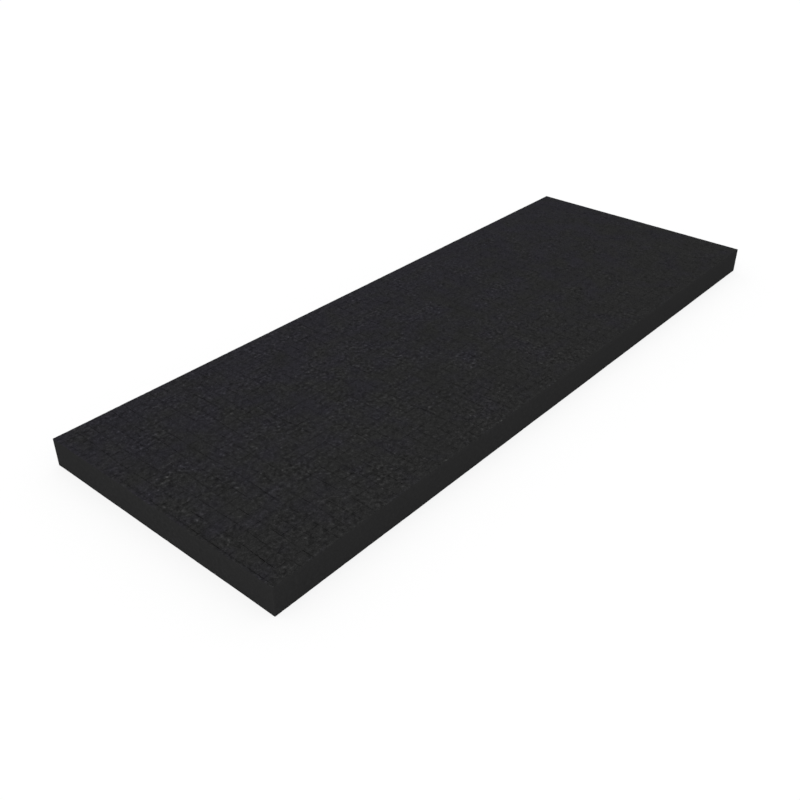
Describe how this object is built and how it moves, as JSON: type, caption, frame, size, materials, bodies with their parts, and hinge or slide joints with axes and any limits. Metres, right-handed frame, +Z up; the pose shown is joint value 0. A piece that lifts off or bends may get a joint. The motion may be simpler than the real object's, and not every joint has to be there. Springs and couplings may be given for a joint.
{
  "type": "foam insert",
  "caption": "Flat rectangular slab of black fine-celled foam for a case or drawer, pre-cut from above into a grid of small blocks that are plucked out to seat what is kept in it.",
  "frame": {"origin": "middle of the face that the slab lies on", "axes": "+X along the length, +Y across the width, +Z up through the thickness"},
  "size_m": [1.08, 0.39, 0.04],
  "materials": {
    "foam": "matte"
  },
  "bodies": {
    "root": {"foam_insert": "foam"}
  },
  "joints": []
}
